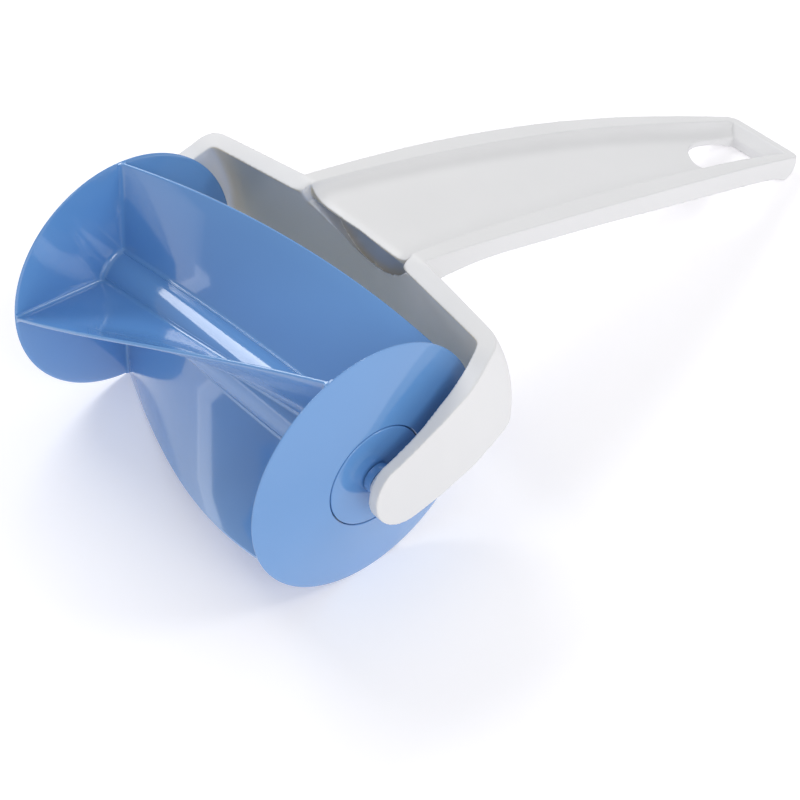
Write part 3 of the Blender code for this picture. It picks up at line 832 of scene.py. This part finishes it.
def paint_inside_shade(tree, shader):
    """Paints shade on the faces of the fork that look at the blue roller: a warm, darker tint that
    cancels the blue light the roller throws on them, and a deeper painted shade on the back of the
    pocket behind the gap.
    """
    coordinate = tree.nodes.new("ShaderNodeTexCoord")
    normal = tree.nodes.new("ShaderNodeSeparateXYZ")
    tree.links.new(coordinate.outputs["Normal"], normal.inputs["Vector"])
    place = tree.nodes.new("ShaderNodeSeparateXYZ")
    tree.links.new(coordinate.outputs["Object"], place.inputs["Vector"])
    factor = ramp(tree, normal.outputs["Y"], *INSIDE_FACING)
    for start, end in ((INSIDE_FROM, INSIDE_FROM + INSIDE_EASE), (INSIDE_TO, INSIDE_TO - INSIDE_EASE)):
        product = node(tree, "ShaderNodeMath", operation="MULTIPLY")
        tree.links.new(factor, product.inputs[0])
        tree.links.new(ramp(tree, place.outputs["Y"], start, end), product.inputs[1])
        factor = product.outputs["Value"]
    colour = node(tree, "ShaderNodeMix", data_type="RGBA")
    colour.inputs["A"].default_value = (*INSIDE_SHADE_TINT, 1.0)
    # painted shade in the pocket behind the gap
    colour.inputs["B"].default_value = (*POCKET_SHADE_TINT, 1.0)
    tree.links.new(ramp(tree, place.outputs["Y"], POCKET_SHADE_FROM, POCKET_SHADE_TO), colour.inputs["Factor"])
    tint = node(tree, "ShaderNodeMix", data_type="RGBA", blend_type="MULTIPLY")
    tree.links.new(colour.outputs["Result"], tint.inputs["B"])
    tree.links.new(factor, tint.inputs["Factor"])
    tree.links.new(shader.inputs["Base Color"].links[0].from_socket, tint.inputs["A"])
    tree.links.new(tint.outputs["Result"], shader.inputs["Base Color"])


def white_plastic():
    material, shader = moulded_plastic("satin_white", WHITE_TONES, (0.36, 0.48), 0.35)
    shader.inputs["IOR"].default_value = 1.49
    # painted shade on the fork's inside and in its pocket
    paint_inside_shade(material.node_tree, shader)
    return material


def blue_plastic():
    material, shader = moulded_plastic("gloss_blue", BLUE_TONES, (0.10, 0.16), 0.06)
    shader.inputs["IOR"].default_value = 1.5
    shader.inputs["Coat Weight"].default_value = 1.0
    shader.inputs["Coat Roughness"].default_value = 0.06
    return material


def drawn_steel():
    material = bpy.data.materials.new("drawn_steel")
    material.use_nodes = True
    tree = material.node_tree
    shader = tree.nodes["Principled BSDF"]
    shader.inputs["Metallic"].default_value = 1.0
    shader.inputs["Base Color"].default_value = (*STEEL_COLOUR, 1.0)
    place = tree.nodes.new("ShaderNodeTexCoord").outputs["Object"]
    stretch = node(tree, "ShaderNodeMapping")
    stretch.inputs["Scale"].default_value = DRAWN_STRETCH
    tree.links.new(place, stretch.inputs["Vector"])
    lines = noise(tree, stretch.outputs["Vector"], 1.0)
    tree.links.new(spread(tree, lines, 0.22, 0.4), shader.inputs["Roughness"])
    tree.links.new(bump(tree, lines, DRAWN_HEIGHT, 0.3), shader.inputs["Normal"])
    return material


# ---- floor, light and camera
def floor():
    bpy.ops.mesh.primitive_plane_add(size=FLOOR_SIZE)
    plane = bpy.context.object
    plane.name = "floor"
    material = bpy.data.materials.new("pale_floor")
    material.use_nodes = True
    shader = material.node_tree.nodes["Principled BSDF"]
    shader.inputs["Base Color"].default_value = (*FLOOR_COLOUR, 1.0)
    shader.inputs["Roughness"].default_value = 0.9
    shader.inputs["Specular IOR Level"].default_value = 0.1
    shader.inputs["Emission Color"].default_value = (*FLOOR_GLOW, 1.0)
    shader.inputs["Emission Strength"].default_value = FLOOR_GLOW_STRENGTH
    plane.data.materials.append(material)


def softbox(name, place, size, watts):
    light = bpy.data.lights.new(name, "AREA")
    light.shape = "RECTANGLE"
    light.size, light.size_y = size
    light.energy = watts
    item = bpy.data.objects.new(name, light)
    item.location = place
    item.rotation_euler = (SOFTBOX_TARGET - item.location).to_track_quat("-Z", "Y").to_euler()
    bpy.context.scene.collection.objects.link(item)


def lights():
    world = bpy.data.worlds.new("studio")
    bpy.context.scene.world = world
    world.use_nodes = True
    background = world.node_tree.nodes["Background"]
    background.inputs["Color"].default_value = (*WORLD_COLOUR, 1.0)
    background.inputs["Strength"].default_value = WORLD_STRENGTH
    for name, place, size, watts in SOFTBOXES:
        softbox(name, place, size, watts)


def camera():
    data = bpy.data.cameras.new("camera")
    data.sensor_width = CAMERA_SENSOR
    data.lens = CAMERA_LENS
    data.clip_start = 0.01
    item = bpy.data.objects.new("camera", data)
    item.location = AXIS + CAMERA_FROM_AXIS
    item.rotation_euler = Euler([math.radians(angle) for angle in CAMERA_TURN])
    bpy.context.scene.collection.objects.link(item)
    bpy.context.scene.camera = item


# ---- putting it together
def finish_piece(item, node_name, body, material, sharp=None):
    """Moves a piece from the roller's axis to the row frame, and ties it to the model."""
    item.data.transform(Matrix.Translation(AXIS))
    item.data.materials.clear()
    item.data.materials.append(material)
    item.data.shade_smooth()
    if sharp is not None:
        item.data.set_sharp_from_angle(angle=math.radians(sharp))
    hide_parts(node_name)
    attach(item, body)


def main():
    bpy.context.scene.view_settings.view_transform = "Standard"
    camera()
    lights()
    floor()
    white, blue, steel = white_plastic(), blue_plastic(), drawn_steel()
    finish_piece(handle_frame(), "handle_frame", "handle", white)
    finish_piece(roller_body(), "roller_body", "roller", blue, TURNED_SHARP)
    finish_piece(axle(), "axle_rod", "handle", steel, TURNED_SHARP)
    for side, sign in (("left", -1), ("right", 1)):
        finish_piece(hub_cap(side, sign), "hub_cap_" + side, "roller", blue,
                     HUB_SHARP)
        finish_piece(thrust_washer(side, sign), "thrust_washer_" + side, "handle",
                     blue, HUB_SHARP)


main()
